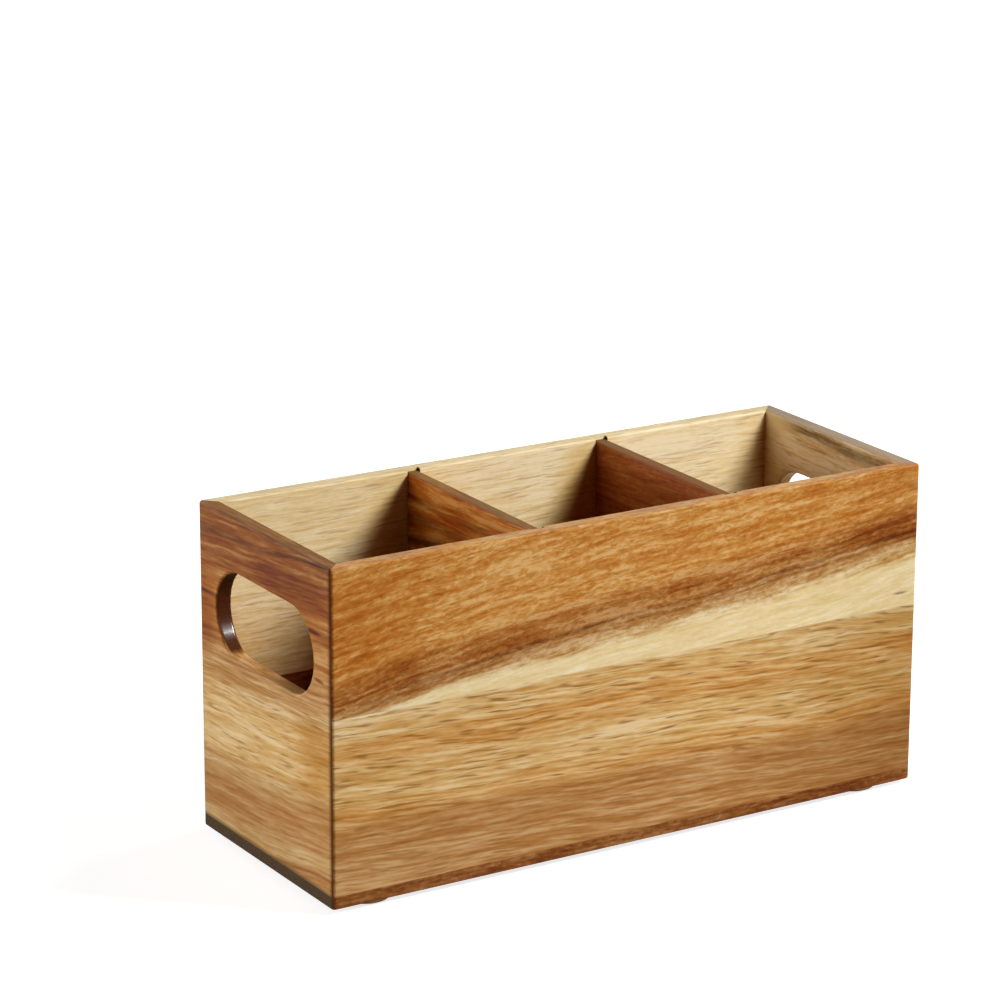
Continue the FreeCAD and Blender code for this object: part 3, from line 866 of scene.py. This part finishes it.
class CADDY_OT_long_boards(bpy.types.Operator):
    """Finishes the front and back boards"""

    bl_idname = "caddy.long_boards"
    bl_label = "Front and back boards"

    def execute(self, context):
        front = {"rim": (WALL_TOP, "ash", 0.3), "inside": (1, PAINTED_INNER_SHADE)}
        front = board("acacia_front_board", "X", [FRONT_LOWER, FRONT_UPPER], [FRONT_GLUE], **front)
        dress("front_panel", front)
        back = {"rim": (WALL_TOP, "ash", 0.25)}
        back = board("acacia_back_board", "X", [BACK_LOWER, BACK_UPPER], [BACK_GLUE], **back)
        dress("back_panel", back)
        return {"FINISHED"}


class CADDY_OT_ends(bpy.types.Operator):
    """Finishes the two end boards with their hand holes"""

    bl_idname = "caddy.ends"
    bl_label = "End boards"

    def execute(self, context):
        left = {"hole": HOLE_LEVELS, "rim": (WALL_TOP, "dusk", 0.5), "inside": (0, PAINTED_INNER_SHADE)}
        dress("left_end_panel", board("acacia_left_end", "Y", [LEFT_END], **left))
        right = {"cut": "tan", "rim": (WALL_TOP, "ash", 0.8)}
        dress("right_end_panel", board("acacia_right_end", "Y", [RIGHT_END], **right))
        return {"FINISHED"}


class CADDY_OT_base(bpy.types.Operator):
    """Finishes the base board"""

    bl_idname = "caddy.base"
    bl_label = "Base board"

    def execute(self, context):
        dress("base_panel", board("acacia_base_board", "base", [BASE], cut="peat"))
        return {"FINISHED"}


class CADDY_OT_dividers(bpy.types.Operator):
    """Finishes the two dividers"""

    bl_idname = "caddy.dividers"
    bl_label = "Dividers"

    def execute(self, context):
        left = board("acacia_left_divider", "Y", [LEFT_DIVIDER], rim=(DIVIDER_TOP, "dusk", 0.8))
        dress("left_divider", left)
        right = board("acacia_right_divider", "Y", [RIGHT_DIVIDER], rim=(DIVIDER_TOP, "dusk", 0.7))
        dress("right_divider", right)
        return {"FINISHED"}


class CADDY_OT_tongues(bpy.types.Operator):
    """Finishes the beech tongues inside the mitres"""

    bl_idname = "caddy.tongues"
    bl_label = "Mitre tongues"

    def execute(self, context):
        beech = board("planed_beech", "Z", [TONGUE], cut="gold")
        for corner in CORNERS:
            dress(f"{corner}_spline", beech)
        return {"FINISHED"}


class CADDY_OT_brads(bpy.types.Operator):
    """Finishes the steel brads that pin the base"""

    bl_idname = "caddy.brads"
    bl_label = "Brads"

    def execute(self, context):
        dress("base_brads", steel())
        return {"FINISHED"}


class CADDY_OT_pads(bpy.types.Operator):
    """Makes the four moulded rubber pads under the base"""

    bl_idname = "caddy.pads"
    bl_label = "Foot pads"

    def execute(self, context):
        material = rubber()
        hollow = context.scene.caddy_fittings.hollow / MM
        for corner in CORNERS:
            pad = turned_pad(f"{corner}_moulded_pad", *box_of(f"{corner}_foot_pad"), hollow)
            pad.data.materials.append(material)
            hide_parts(f"{corner}_foot_pad")
            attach(pad, "root")
        return {"FINISHED"}


class CADDY_OT_stage(bpy.types.Operator):
    """Sets the floor, the lamps, the world and the camera"""

    bl_idname = "caddy.stage"
    bl_label = "Studio"

    def execute(self, context):
        look = context.scene.caddy_stage
        set_floor(look)
        set_world(look)
        for name, place, width, height, power in LAMPS:
            set_lamp(name, place, width, height, getattr(look, power))
        set_camera(look)
        context.scene.view_settings.view_transform = "Standard"
        return {"FINISHED"}


class CADDY_PT_panel(bpy.types.Panel):
    """Lists the caddy's pieces"""

    bl_label = "Utensil caddy"
    bl_idname = "CADDY_PT_panel"
    bl_space_type = "VIEW_3D"
    bl_region_type = "UI"
    bl_category = "Caddy"

    def draw(self, context):
        scene = context.scene
        for group in (scene.caddy_timber, scene.caddy_fittings, scene.caddy_stage):
            for name in group.__annotations__:
                self.layout.prop(group, name)
        for piece in PIECES:
            self.layout.operator(piece.bl_idname)


PIECES = (
    CADDY_OT_long_boards,
    CADDY_OT_ends,
    CADDY_OT_base,
    CADDY_OT_dividers,
    CADDY_OT_tongues,
    CADDY_OT_brads,
    CADDY_OT_pads,
    CADDY_OT_stage,
)
CLASSES = (CaddyTimber, CaddyFittings, CaddyStage, *PIECES, CADDY_PT_panel)


def register():
    for cls in CLASSES:
        bpy.utils.register_class(cls)
    bpy.types.Scene.caddy_timber = PointerProperty(type=CaddyTimber)
    bpy.types.Scene.caddy_fittings = PointerProperty(type=CaddyFittings)
    bpy.types.Scene.caddy_stage = PointerProperty(type=CaddyStage)


def unregister():
    del bpy.types.Scene.caddy_stage
    del bpy.types.Scene.caddy_fittings
    del bpy.types.Scene.caddy_timber
    for cls in reversed(CLASSES):
        bpy.utils.unregister_class(cls)


def main():
    register()
    bpy.ops.caddy.long_boards()
    bpy.ops.caddy.ends()
    bpy.ops.caddy.base()
    bpy.ops.caddy.dividers()
    bpy.ops.caddy.tongues()
    bpy.ops.caddy.brads()
    bpy.ops.caddy.pads()
    bpy.ops.caddy.stage()


if __name__ == "__main__":
    main()
